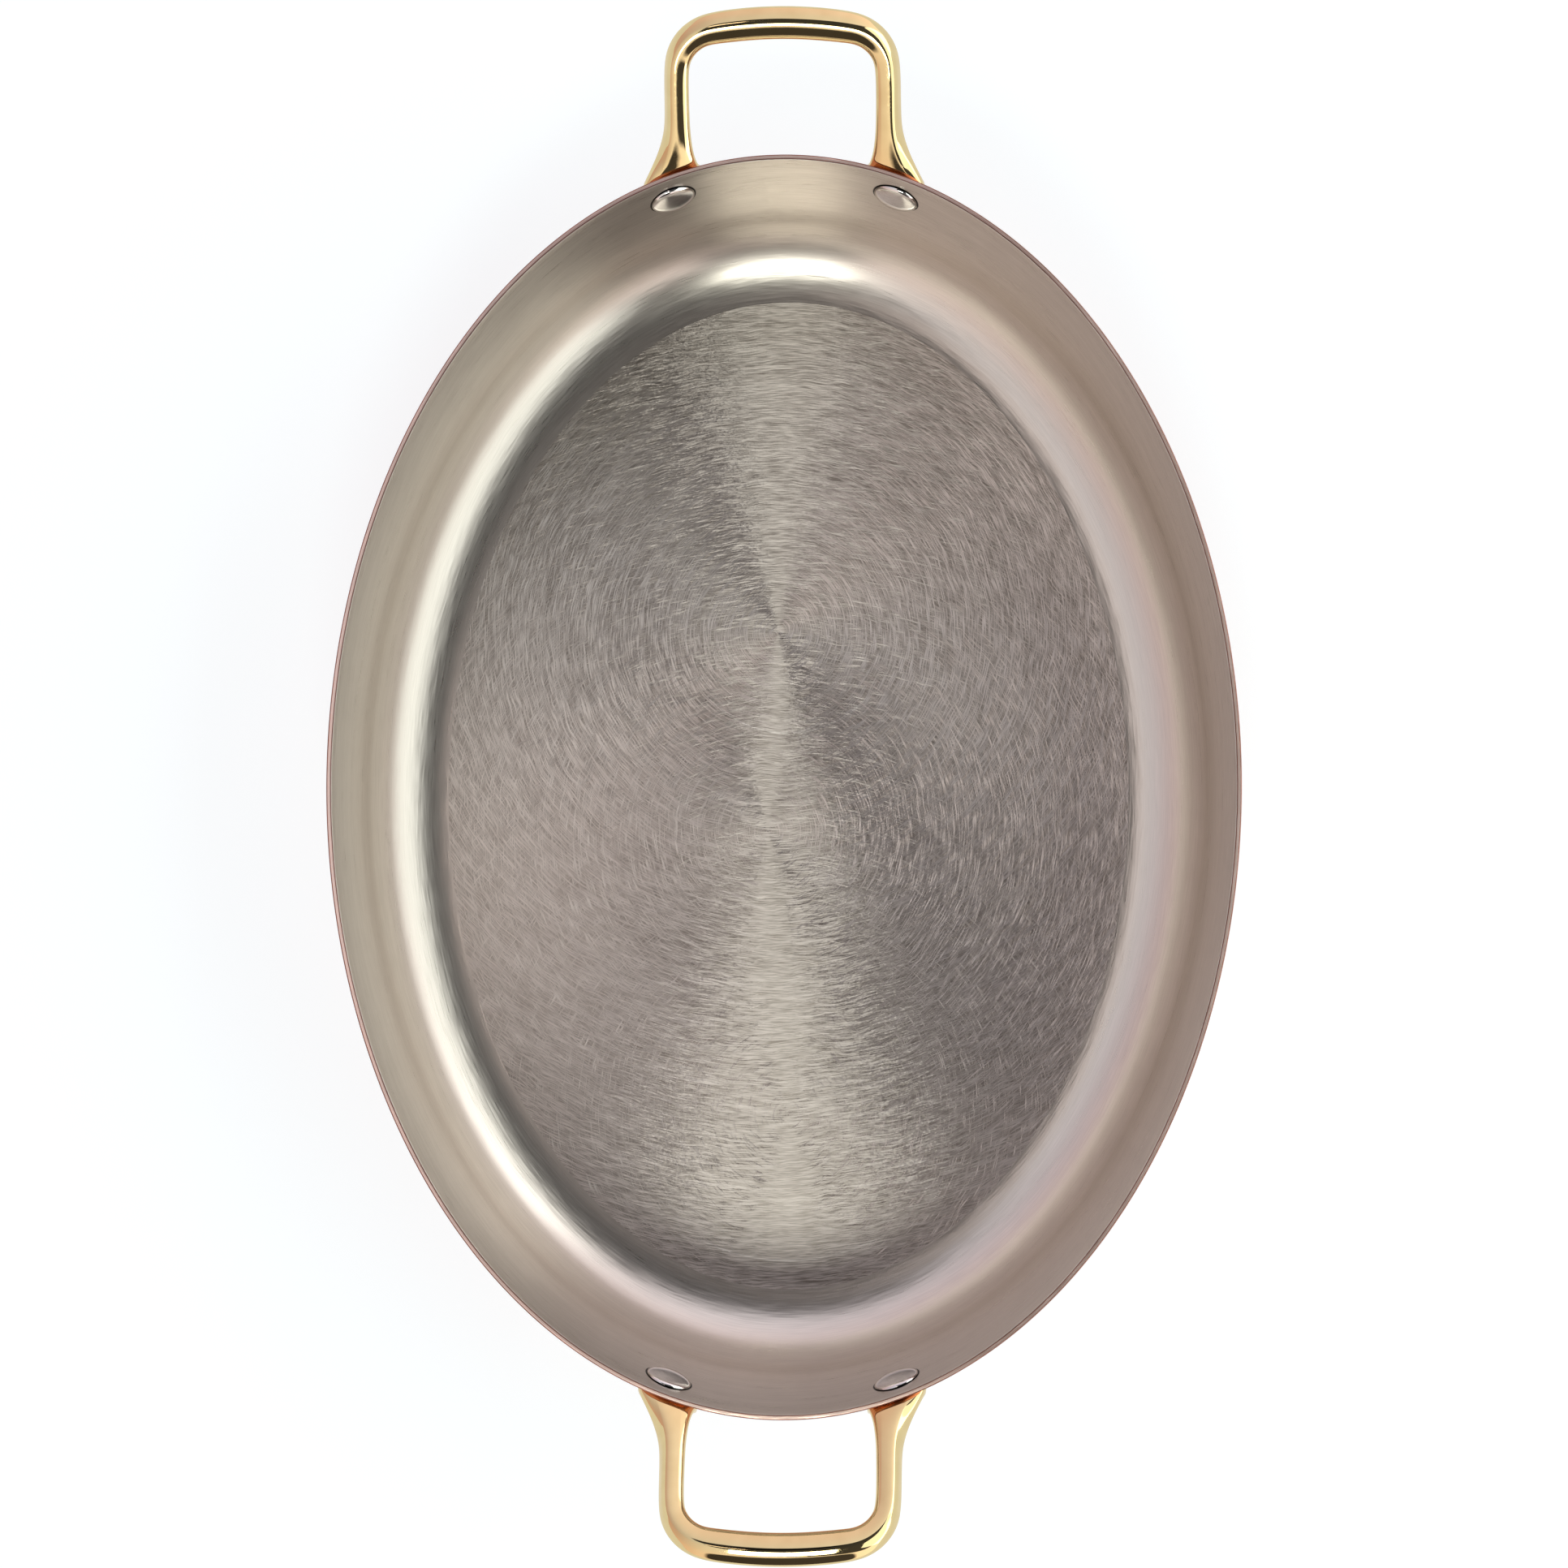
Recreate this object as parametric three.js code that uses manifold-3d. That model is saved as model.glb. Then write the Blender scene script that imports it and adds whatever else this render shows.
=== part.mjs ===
import * as THREE from 'three';
import { mergeVertices } from 'three/addons/utils/BufferGeometryUtils.js';
import Module from 'manifold-3d';

// Oval roasting pan pressed from copper sheet with a bonded steel lining. Two cast brass handles are each
// held to an end wall by two steel rivets. All sizes are in millimetres and angles in degrees.
// The origin is the middle of the flat base, Z is up and the long axis is Y.

const wasm = await Module();
wasm.setup();

// Clad sheet
const copperThickness = 1.4;
const steelThickness = 0.2;

// Body
const rimLength = 360;
const rimWidth = 260;
const panHeight = 56.6;
const floorCornerRadius = 22;
const sideFlare = 7;
const endFlare = 12.5;

// Handle bar
const gripReach = 32.8;
const gripRise = 20;
const gripWidth = 9.2;
const gripBow = 1.3;
const handleSpan = 60.4;
const legWidth = 6.9;
const barThickness = 7.6;
const handleCornerRadius = 12.5;

// Foot of each leg, where it spreads into its pad
const footDrop = 3.5;
const footWidth = 16.4;
const footThickness = 6.2;
const footLength = 16;

// Riveted pad
const padThickness = 4;
const padWidth = 18;
const padTopDrop = 1.5;
const padTopCornerRadius = 3;

// Rivets
const rivetSpacing = 64.8;
const rivetDrop = 11.5;
const shankDiameter = 5;
const innerHeadDiameter = 13.7;
const innerHeadHeight = 2.1;
const outerHeadDiameter = 10.4;
const outerHeadHeight = 2.6;
const headEdge = 0.4;

// Clearances
const seatClearance = 0.3;
const holeClearance = 0.3;
const headClearance = 0.5;

// Reach of a cutting body past the face that it cuts
const cutReach = 12;

// Smoothness
const bodySegments = 84;
const cornerSteps = 5;
const barSides = 14;
const bendSteps = 6;
const headSegments = 20;
const headSteps = 4;
const outlineSegments = 8;
const footShares = [0, 0.15, 0.3, 0.5, 0.75, 1];

// Squareness of the bar's oval section, where 2 is an ellipse
const sectionExponent = 2.4;

// Passes that find a place on the wall, and the small step that finds its tangents
const turnPasses = 6;
const tangentStep = 0.01;

const sheetThickness = copperThickness + steelThickness;
const cornerCentreHeight = sheetThickness + floorCornerRadius;

// Offsets from the inside face of the sheet, measured outwards
const padBack = sheetThickness + seatClearance;
const padFront = padBack + padThickness;
const innerHeadSeat = -seatClearance;
const outerHeadSeat = padFront + seatClearance;

const copper = new THREE.MeshStandardMaterial({ color: 0xc4836a, roughness: 0.3, metalness: 1 });
const brushedSteel = new THREE.MeshStandardMaterial({ color: 0xb9b1aa, roughness: 0.4, metalness: 1 });
const brass = new THREE.MeshStandardMaterial({ color: 0xd6b476, roughness: 0.15, metalness: 1 });
const polishedSteel = new THREE.MeshStandardMaterial({ color: 0xcfcdcb, roughness: 0.12, metalness: 1 });

// Closed skin through rings of equal point counts. A pole point closes an end, and with no poles the last ring
// joins back to the first. The diagonal of a face leans the same way in rings that rise and in rings that fall,
// so that two layers of the sheet share their faces.
function skin(rings, startPole, endPole) {
  const sides = rings[0].length;
  const points = rings.flat();
  const faces = [];
  const joins = startPole ? rings.length - 1 : rings.length;
  for (let r = 0; r < joins; r++) {
    const here = r * sides;
    const next = ((r + 1) % rings.length) * sides;
    for (let k = 0; k < sides; k++) {
      const after = (k + 1) % sides;
      const rising = points[next + k].z > points[here + k].z;
      const [a, b, c, d] = [here + k, here + after, next + after, next + k];
      faces.push(...(rising ? [a, b, c, a, c, d] : [a, b, d, b, c, d]));
    }
  }
  if (startPole) {
    const start = points.push(startPole) - 1;
    const end = points.push(endPole) - 1;
    const last = (rings.length - 1) * sides;
    for (let k = 0; k < sides; k++) {
      const after = (k + 1) % sides;
      faces.push(start, after, k);
      faces.push(end, last + k, last + after);
    }
  }
  const geometry = new THREE.BufferGeometry().setFromPoints(points);
  geometry.setIndex(faces);
  return geometry;
}

function signedVolume(positions, faces) {
  const a = new THREE.Vector3();
  const b = new THREE.Vector3();
  const c = new THREE.Vector3();
  let volume = 0;
  for (let i = 0; i < faces.length; i += 3) {
    a.fromArray(positions, faces[i] * 3);
    b.fromArray(positions, faces[i + 1] * 3);
    c.fromArray(positions, faces[i + 2] * 3);
    volume += a.dot(b.cross(c)) / 6;
  }
  return volume;
}

// Solid of a closed geometry, with its faces turned outwards.
function toSolid(geometry) {
  const bare = geometry.clone();
  bare.deleteAttribute('normal');
  bare.deleteAttribute('uv');
  const merged = mergeVertices(bare);
  const positions = new Float32Array(merged.attributes.position.array);
  const faces = [];
  const index = merged.index.array;
  for (let i = 0; i < index.length; i += 3) {
    const [a, b, c] = [index[i], index[i + 1], index[i + 2]];
    if (a !== b && b !== c && c !== a) faces.push(a, b, c);
  }
  if (signedVolume(positions, faces) < 0) faces.reverse();
  return new wasm.Manifold(new wasm.Mesh({
    numProp: 3,
    vertProperties: positions,
    triVerts: new Uint32Array(faces),
  }));
}

function toMesh(name, solid, material) {
  const result = solid.getMesh();
  const geometry = new THREE.BufferGeometry();
  geometry.setAttribute('position', new THREE.BufferAttribute(new Float32Array(result.vertProperties), 3));
  geometry.setIndex(new THREE.BufferAttribute(new Uint32Array(result.triVerts), 1));
  geometry.computeVertexNormals();
  const mesh = new THREE.Mesh(geometry, material);
  mesh.name = name;
  return mesh;
}

// Lean of the wall from upright, which passes smoothly from the sides to the ends.
function flareAt(turn) {
  const end = Math.sin(turn) ** 2;
  return THREE.MathUtils.degToRad(sideFlare * (1 - end) + endFlare * end);
}

function ovalPoint(turn, inset, height) {
  return new THREE.Vector3(
    (rimWidth / 2 - inset) * Math.cos(turn),
    (rimLength / 2 - inset) * Math.sin(turn),
    height,
  );
}

// Inset of the straight wall from the rim's edge, at a drop below the rim. An offset is measured outwards from
// the inside face.
function wallInset(turn, drop, offset) {
  const flare = flareAt(turn);
  return (sheetThickness - offset) / Math.cos(flare) + drop * Math.tan(flare);
}

function wallPoint(turn, drop, offset) {
  return ovalPoint(turn, wallInset(turn, drop, offset), panHeight - drop);
}

// Turn about the oval at which the wall of one end lies at a given x.
function turnAtX(x, drop, offset, end) {
  let turn = (end * Math.PI) / 2;
  for (let pass = 0; pass < turnPasses; pass++) {
    turn = end * Math.acos(x / (rimWidth / 2 - wallInset(turn, drop, offset)));
  }
  return turn;
}

// Point of the round corner between floor and wall. The share goes from 0 at the floor to 1 at the wall.
function cornerPoint(turn, share, offset) {
  const flare = flareAt(turn);
  const centreInset = wallInset(turn, panHeight - cornerCentreHeight, -floorCornerRadius);
  const angle = share * (Math.PI / 2 - flare);
  const radius = floorCornerRadius + offset;
  return ovalPoint(turn, centreInset - radius * Math.sin(angle), cornerCentreHeight - radius * Math.cos(angle));
}

function bodyRing(pointAt) {
  return Array.from({ length: bodySegments }, (_, k) => pointAt((k / bodySegments) * 2 * Math.PI));
}

// Rings of one face of the sheet, from the edge of the floor up to the rim.
function faceRings(offset) {
  const rings = [];
  for (let step = 0; step <= cornerSteps; step++) {
    rings.push(bodyRing((turn) => cornerPoint(turn, step / cornerSteps, offset)));
  }
  rings.push(bodyRing((turn) => wallPoint(turn, 0, offset)));
  return rings;
}

// One layer of the clad sheet, between two offsets from the inside face.
function sheetLayer(innerOffset, outerOffset) {
  const rings = [...faceRings(outerOffset), ...faceRings(innerOffset).reverse()];
  const outerPole = new THREE.Vector3(0, 0, sheetThickness - outerOffset);
  const innerPole = new THREE.Vector3(0, 0, sheetThickness - innerOffset);
  return toSolid(skin(rings, outerPole, innerPole));
}

// Band that follows the wall between two offsets, from above the rim to the start of the floor's corner.
function wallBand(innerOffset, outerOffset) {
  const top = -cutReach;
  const bottom = panHeight - cornerCentreHeight;
  return toSolid(skin([
    bodyRing((turn) => wallPoint(turn, bottom, innerOffset)),
    bodyRing((turn) => wallPoint(turn, bottom, outerOffset)),
    bodyRing((turn) => wallPoint(turn, top, outerOffset)),
    bodyRing((turn) => wallPoint(turn, top, innerOffset)),
  ]));
}

// Place of a rivet on the inside face: x along the rim, y up the wall and z straight out through it.
function rivetFrame(side, end) {
  const turn = turnAtX((side * rivetSpacing) / 2, rivetDrop, 0, end);
  const seat = wallPoint(turn, rivetDrop, 0);
  const upWall = wallPoint(turn, rivetDrop - tangentStep, 0).sub(seat).normalize();
  const before = wallPoint(turn - tangentStep, rivetDrop, 0);
  const alongRim = wallPoint(turn + tangentStep, rivetDrop, 0).sub(before).normalize();
  const outwards = new THREE.Vector3().crossVectors(alongRim, upWall).normalize();
  const along = new THREE.Vector3().crossVectors(upWall, outwards);
  return new THREE.Matrix4().makeBasis(along, upWall, outwards).setPosition(seat);
}

// Round solid turned about the frame's z axis from a profile of radius and height.
function turned(profile, frame) {
  const points = profile.map(([radius, height]) => new THREE.Vector2(radius, height));
  const geometry = new THREE.LatheGeometry(points, headSegments);
  geometry.rotateX(Math.PI / 2);
  return toSolid(geometry.applyMatrix4(frame));
}

function rod(diameter, from, to, frame) {
  return turned([[0, from], [diameter / 2, from], [diameter / 2, to], [0, to]], frame);
}

// Low dome on a thin straight edge, with its flat side sunk under the face that it sits on.
function dome(diameter, base, height, direction, frame) {
  const sunk = base - direction * padThickness / 2;
  const radius = diameter / 2;
  const crown = height - headEdge;
  const sphere = (radius ** 2 + crown ** 2) / (2 * crown);
  const edgeAngle = Math.asin(radius / sphere);
  const profile = [[0, sunk], [radius, sunk]];
  for (let step = 0; step < headSteps; step++) {
    const angle = edgeAngle * (1 - step / headSteps);
    const rise = sphere * Math.cos(angle) - sphere + height;
    profile.push([sphere * Math.sin(angle), base + direction * rise]);
  }
  profile.push([0, base + direction * height]);
  return turned(profile, frame);
}

// Rivet with a domed head on the lining and another on the pad. Its heads follow the curve of the wall.
function rivet(frame, seatBand) {
  const innerHead = dome(innerHeadDiameter, innerHeadSeat, innerHeadHeight, -1, frame);
  const outerHead = dome(outerHeadDiameter, outerHeadSeat, outerHeadHeight, 1, frame);
  const shankStart = innerHeadSeat - innerHeadHeight / 2;
  const shankEnd = outerHeadSeat + outerHeadHeight / 2;
  const shank = rod(shankDiameter, shankStart, shankEnd, frame);
  return innerHead.subtract(seatBand).add(outerHead.subtract(seatBand)).add(shank);
}

// Hole that a rivet's shank passes through, long enough to cut the sheet and the pad.
function rivetHole(frame) {
  return rod(shankDiameter + 2 * holeClearance, innerHeadSeat - cutReach, outerHeadSeat + cutReach, frame);
}

// Outline of a pad about its rivet: straight across the top and round below.
function padOutline() {
  const half = padWidth / 2;
  const top = rivetDrop - padTopDrop;
  const corner = padTopCornerRadius;
  const outline = new THREE.Shape();
  outline.moveTo(half, 0);
  outline.lineTo(half, top - corner);
  outline.absarc(half - corner, top - corner, corner, 0, Math.PI / 2, false);
  outline.lineTo(corner - half, top);
  outline.absarc(corner - half, top - corner, corner, Math.PI / 2, Math.PI, false);
  outline.lineTo(-half, 0);
  outline.absarc(0, 0, half, Math.PI, 2 * Math.PI, false);
  return outline;
}

function pad(frame, padBand) {
  const geometry = new THREE.ExtrudeGeometry(padOutline(), {
    depth: padFront + 2 * cutReach,
    bevelEnabled: false,
    curveSegments: outlineSegments,
  });
  geometry.translate(0, 0, -cutReach);
  return toSolid(geometry.applyMatrix4(frame)).intersect(padBand);
}

// Oval section of the bar, square to its run.
function section(centre, across, through, width, thickness) {
  const power = 2 / sectionExponent;
  return Array.from({ length: barSides }, (_, k) => {
    const angle = (k / barSides) * 2 * Math.PI;
    const [c, s] = [Math.cos(angle), Math.sin(angle)];
    const u = (Math.sign(c) * Math.abs(c) ** power * width) / 2;
    const v = (Math.sign(s) * Math.abs(s) ** power * thickness) / 2;
    return centre.clone().addScaledVector(across, u).addScaledVector(through, v);
  });
}

// Bar of a handle: two legs that rise from their feet and the grip that joins them. It lies in one plane, where
// run is the distance up the slope from the feet.
function bar(end) {
  const footHeight = panHeight - footDrop;
  const footOffset = (padBack + padFront) / 2;
  const footPoint = wallPoint(turnAtX(rivetSpacing / 2, footDrop, footOffset, end), footDrop, footOffset);
  const gripY = end * (rimLength / 2 + gripReach);
  const gripHeight = panHeight + gripRise;
  const slope = Math.atan2(gripHeight - footHeight, Math.abs(gripY - footPoint.y));
  const upSlope = new THREE.Vector3(0, end * Math.cos(slope), Math.sin(slope));
  const through = new THREE.Vector3(0, -end * Math.sin(slope), Math.cos(slope));
  const origin = new THREE.Vector3(0, footPoint.y, footHeight);
  const gripRun = (gripHeight - footHeight) / Math.sin(slope) - gripBow;
  const legX = handleSpan / 2;
  const bend = handleCornerRadius;

  const stations = [];
  const addStation = (x, run, heading, width, thickness) => {
    stations.push({ x, run, heading, width, thickness });
  };
  // Leg, with its buried end and the foot that spreads towards the rivet
  addStation(rivetSpacing / 2, -padThickness, 0, footWidth, footThickness);
  for (const share of footShares) {
    const spread = (1 - share) ** 2;
    const x = THREE.MathUtils.lerp(legX, rivetSpacing / 2, spread);
    const width = THREE.MathUtils.lerp(legWidth, footWidth, spread);
    const thickness = THREE.MathUtils.lerp(barThickness, footThickness, spread);
    addStation(x, share * footLength, 0, width, thickness);
  }
  // Bend, where the leg widens into the grip
  for (let step = 0; step <= bendSteps; step++) {
    const angle = (step / bendSteps) * (Math.PI / 2);
    const x = legX - bend + bend * Math.cos(angle);
    const run = gripRun - bend + bend * Math.sin(angle);
    addStation(x, run, angle, THREE.MathUtils.lerp(legWidth, gripWidth, step / bendSteps), barThickness);
  }
  // Half of the grip, bowed outwards to its middle
  const halfGrip = legX - bend;
  const bowedRun = (x) => gripRun + gripBow * (1 - (x / halfGrip) ** 2);
  addStation(halfGrip / 2, bowedRun(halfGrip / 2), Math.PI / 2, gripWidth, barThickness);
  const mirrored = stations.map((s) => ({ ...s, x: -s.x, heading: Math.PI - s.heading })).reverse();
  addStation(0, bowedRun(0), Math.PI / 2, gripWidth, barThickness);

  const rings = [...stations, ...mirrored].map((s) => {
    const centre = origin.clone().addScaledVector(upSlope, s.run);
    centre.x = s.x;
    const across = upSlope.clone().multiplyScalar(Math.sin(s.heading));
    across.x = Math.cos(s.heading);
    return section(centre, across, through, s.width, s.thickness);
  });
  const middle = (ring) => ring.reduce((sum, p) => sum.add(p), new THREE.Vector3()).divideScalar(ring.length);
  return toSolid(skin(rings, middle(rings[0]), middle(rings.at(-1))));
}

// Cast handle: its bar is cut off at the wall and spot faced for the rivets, and gets its drilled pads.
function handle(end, frames) {
  let solid = bar(end).subtract(panBand);
  for (const frame of frames) {
    const spotDiameter = outerHeadDiameter + 2 * headClearance;
    solid = solid.subtract(rod(spotDiameter, padBack, outerHeadSeat + outerHeadHeight + headClearance, frame));
  }
  for (const frame of frames) {
    solid = solid.add(pad(frame, padBand)).subtract(rivetHole(frame));
  }
  return solid;
}

const panBand = wallBand(-cutReach, padBack);
const padBand = wallBand(padBack, padFront);
const headBand = wallBand(innerHeadSeat, outerHeadSeat);

const pan = new THREE.Group();
pan.name = 'oval_roasting_pan';

let shell = sheetLayer(steelThickness, sheetThickness);
let lining = sheetLayer(0, steelThickness);

for (const [endName, end] of [['far', 1], ['near', -1]]) {
  const frames = [];
  for (const [sideName, side] of [['left', -1], ['right', 1]]) {
    const frame = rivetFrame(side, end);
    shell = shell.subtract(rivetHole(frame));
    lining = lining.subtract(rivetHole(frame));
    pan.add(toMesh(`${endName}_${sideName}_rivet`, rivet(frame, headBand), polishedSteel));
    frames.push(frame);
  }
  pan.add(toMesh(`${endName}_handle`, handle(end, frames), brass));
}
pan.add(toMesh('copper_shell', shell, copper));
pan.add(toMesh('steel_lining', lining, brushedSteel));

export default pan;
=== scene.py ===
import math

import bmesh
import bpy
from mathutils import Euler, Matrix, Vector


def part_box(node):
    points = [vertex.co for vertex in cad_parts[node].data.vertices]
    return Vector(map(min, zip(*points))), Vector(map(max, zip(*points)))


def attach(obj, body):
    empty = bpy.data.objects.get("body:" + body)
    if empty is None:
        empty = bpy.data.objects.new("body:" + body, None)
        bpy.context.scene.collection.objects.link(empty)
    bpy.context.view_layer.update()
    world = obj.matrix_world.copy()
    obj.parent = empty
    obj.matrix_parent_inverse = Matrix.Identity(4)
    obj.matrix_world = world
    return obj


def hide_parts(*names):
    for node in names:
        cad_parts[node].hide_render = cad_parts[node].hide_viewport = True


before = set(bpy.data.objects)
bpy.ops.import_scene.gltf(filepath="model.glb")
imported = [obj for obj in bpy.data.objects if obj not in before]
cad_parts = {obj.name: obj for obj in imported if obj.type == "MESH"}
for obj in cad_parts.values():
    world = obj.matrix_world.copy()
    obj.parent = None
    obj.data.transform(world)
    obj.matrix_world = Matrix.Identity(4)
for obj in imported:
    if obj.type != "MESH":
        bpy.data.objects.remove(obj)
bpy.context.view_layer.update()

# An oval copper roasting pan, lined with brushed steel, with two cast brass handles on steel rivets.
# Everything is in metres. X runs across the pan, Y along it and Z up out of it.

mm = 0.001
tiny = 0.01 * mm  # points closer than this are one point

shellLow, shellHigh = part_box("copper_shell")
pan = {
    "rimWidth": shellHigh.x - shellLow.x,
    "rimLength": shellHigh.y - shellLow.y,
    "height": shellHigh.z - shellLow.z,
    "copper": 1.4 * mm,
    "lining": 0.2 * mm,
    "floorCorner": 22 * mm,
    "sideFlare": 7,  # degrees
    "endFlare": 12.5,
    "floorMargin": 0.5 * mm,  # flat strip round the floor that keeps its shading flat
    "copperEdge": 0.42 * mm,  # rounding of the cut rim
    "bareInset": 1.15 * mm,  # the rim is bare from its rounding to this far in, and painted dark as shade on both sides
    "liningEdge": 0.08 * mm,
    "edgeSteps": 3,
    "segments": 360,
    "cornerSteps": 14,
    "wallSteps": 10,
}
sheet = pan["copper"] + pan["lining"]
cornerCentreHeight = sheet + pan["floorCorner"]

# the lining's finish and the handles' pads go by these too
rivets = {
    "spacing": 64.8 * mm,
    "drop": 11.5 * mm,
    "shank": 5 * mm,
    "innerHead": 13.1 * mm,
    "innerHeight": 1.9 * mm,
    "outerHead": 10.4 * mm,
    "outerHeight": 2.6 * mm,
    "fullness": 0.87,  # of the domes: 1 gives an ellipse, and less is fuller at the edge
    "edge": 0.35 * mm,
    "segments": 64,
    "domeSteps": 10,
}


def lerp(a, b, share):
    return a + (b - a) * share


def flareAt(turn):
    end = math.sin(turn) ** 2
    return math.radians(lerp(pan["sideFlare"], pan["endFlare"], end))


def ovalPoint(turn, inset, height):
    return Vector((
        (pan["rimWidth"] / 2 - inset) * math.cos(turn),
        (pan["rimLength"] / 2 - inset) * math.sin(turn),
        height,
    ))


def wallInset(turn, drop, offset):  # an offset is measured outwards from the lining's inside face
    flare = flareAt(turn)
    return (sheet - offset) / math.cos(flare) + drop * math.tan(flare)


def wallPoint(turn, drop, offset):
    return ovalPoint(turn, wallInset(turn, drop, offset), pan["height"] - drop)


def cornerInset(turn):  # to the centre of the round corner
    return wallInset(turn, pan["height"] - cornerCentreHeight, -pan["floorCorner"])


def cornerPoint(turn, share, offset):  # share runs from 0 at the floor to 1 at the wall
    angle = share * (math.pi / 2 - flareAt(turn))
    radius = pan["floorCorner"] + offset
    inset = cornerInset(turn) - radius * math.sin(angle)
    return ovalPoint(turn, inset, cornerCentreHeight - radius * math.cos(angle))


def turnAtX(x, drop, offset):  # on the far wall
    turn = math.pi / 2
    for _ in range(6):  # the flare depends on the turn, which settles in a few rounds
        turn = math.acos(x / (pan["rimWidth"] / 2 - wallInset(turn, drop, offset)))
    return turn


def wallAtX(x, drop, offset):
    return wallPoint(turnAtX(x, drop, offset), drop, offset)


# Every vertex keeps its place round its ring in the layer "around", and pointAt tells where that is.
def growRing(bm, edges, pointAt):
    grown = bmesh.ops.extrude_edge_only(bm, edges=edges)["geom"]
    around = bm.verts.layers.float["around"]
    for part in grown:
        if isinstance(part, bmesh.types.BMVert):
            part.co = pointAt(part[around])
    return [part for part in grown if isinstance(part, bmesh.types.BMEdge) and part.is_boundary]


def startRing(bm, segments, keyAt, pointAt):
    around = bm.verts.layers.float.new("around")
    verts = bmesh.ops.create_circle(bm, cap_ends=False, segments=segments, radius=1)["verts"]
    for k, vert in enumerate(verts):
        vert[around] = keyAt(k)
        vert.co = pointAt(vert[around])
    return list(bm.edges)


def finishPiece(bm, name, materials, replaced, sharpAngle=40):
    around = bm.verts.layers.float.get("around")
    if around:
        bm.verts.layers.float.remove(around)
    bmesh.ops.recalc_face_normals(bm, faces=bm.faces)
    mesh = bpy.data.meshes.new(name)
    bm.to_mesh(mesh)
    bm.free()
    mesh.shade_smooth()
    mesh.set_sharp_from_angle(angle=math.radians(sharpAngle))
    for material in materials:
        mesh.materials.append(material)
    piece = bpy.data.objects.new(name, mesh)
    bpy.context.scene.collection.objects.link(piece)
    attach(piece, "root")
    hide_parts(replaced)
    return piece


# Materials

def fromHex(code):
    channels = [int(code[i:i + 2], 16) / 255 for i in (1, 3, 5)]
    linear = [c / 12.92 if c <= 0.04045 else ((c + 0.055) / 1.055) ** 2.4 for c in channels]
    return (*linear, 1)


def addNode(tree, kind, inputs=None, **settings):
    node = tree.nodes.new(kind)
    for name, value in settings.items():
        setattr(node, name, value)
    for key, value in (inputs or {}).items():
        if isinstance(value, bpy.types.NodeSocket):
            tree.links.new(value, node.inputs[key])
        else:
            node.inputs[key].default_value = value
    return node


def startMaterial(name):
    material = bpy.data.materials.new(name)
    material.use_nodes = True
    material.node_tree.nodes.clear()
    return material, material.node_tree


noiseSwing = 0.25  # how far noise strays from its middle
quarterTurn = 0.25


def centredOn(tree, place, x, y):
    return addNode(tree, "ShaderNodeMapping", {"Vector": place, "Location": (-x, -y, 0)}).outputs[0]


def strokesRound(tree, look, centred, height, length, width):  # noise drawn out into lines round a centre
    squash = (1, look["brushAspect"], 0)
    oval = addNode(tree, "ShaderNodeVectorMath", {0: centred, 1: squash}, operation="MULTIPLY").outputs[0]
    radius = addNode(tree, "ShaderNodeVectorMath", {0: oval}, operation="LENGTH").outputs["Value"]
    across = addNode(tree, "ShaderNodeMath", {0: radius, 1: height}, operation="ADD").outputs[0]
    lane = addNode(tree, "ShaderNodeMath", {0: across, 1: width}, operation="DIVIDE").outputs[0]
    lift = addNode(tree, "ShaderNodeCombineXYZ", {2: lane}).outputs[0]
    where = addNode(tree, "ShaderNodeVectorMath", {
        0: centred, 1: (1 / length, 1 / length, 0), 2: lift,
    }, operation="MULTIPLY_ADD").outputs[0]
    noise = {"Vector": where, "Scale": 1, "Detail": 1, "Roughness": 0.5}
    return addNode(tree, "ShaderNodeTexNoise", noise).outputs["Fac"]


# The strokes of every pass lie round a centre of their own, and the ones on top show.
# They bend a little, by the wander.
def layStrokes(tree, look, place, height):
    wander = addNode(tree, "ShaderNodeTexNoise", {
        "Vector": place, "Scale": 1 / look["wanderSize"], "Detail": 1,
    }).outputs["Color"]
    reach = look["wander"] / noiseSwing
    bent = addNode(tree, "ShaderNodeVectorMath", {
        0: wander, 1: (reach, reach, 0), 2: place,
    }, operation="MULTIPLY_ADD").outputs[0]
    top = None
    for x, y, bias in look["passes"]:
        centred = centredOn(tree, bent, x + reach / 2, y + reach / 2)
        stroke = strokesRound(tree, look, centred, height, look["strokeLength"], look["strokeWidth"])
        stroke = addNode(tree, "ShaderNodeMath", {0: stroke, 1: bias}, operation="ADD").outputs[0]
        if top is None:
            top, spot = stroke, centred
            continue
        wins = addNode(tree, "ShaderNodeMath", {0: stroke, 1: top}, operation="GREATER_THAN").outputs[0]
        top = addNode(tree, "ShaderNodeMath", {0: stroke, 1: top}, operation="MAXIMUM").outputs[0]
        spot = addNode(tree, "ShaderNodeMix", {0: wins, 4: spot, 5: centred}, data_type="VECTOR").outputs[1]
    low, high = look["strokeRange"]
    fine = addNode(tree, "ShaderNodeMapRange", {"Value": top, "From Min": low, "From Max": high}).outputs[0]
    return fine, spot


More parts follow.
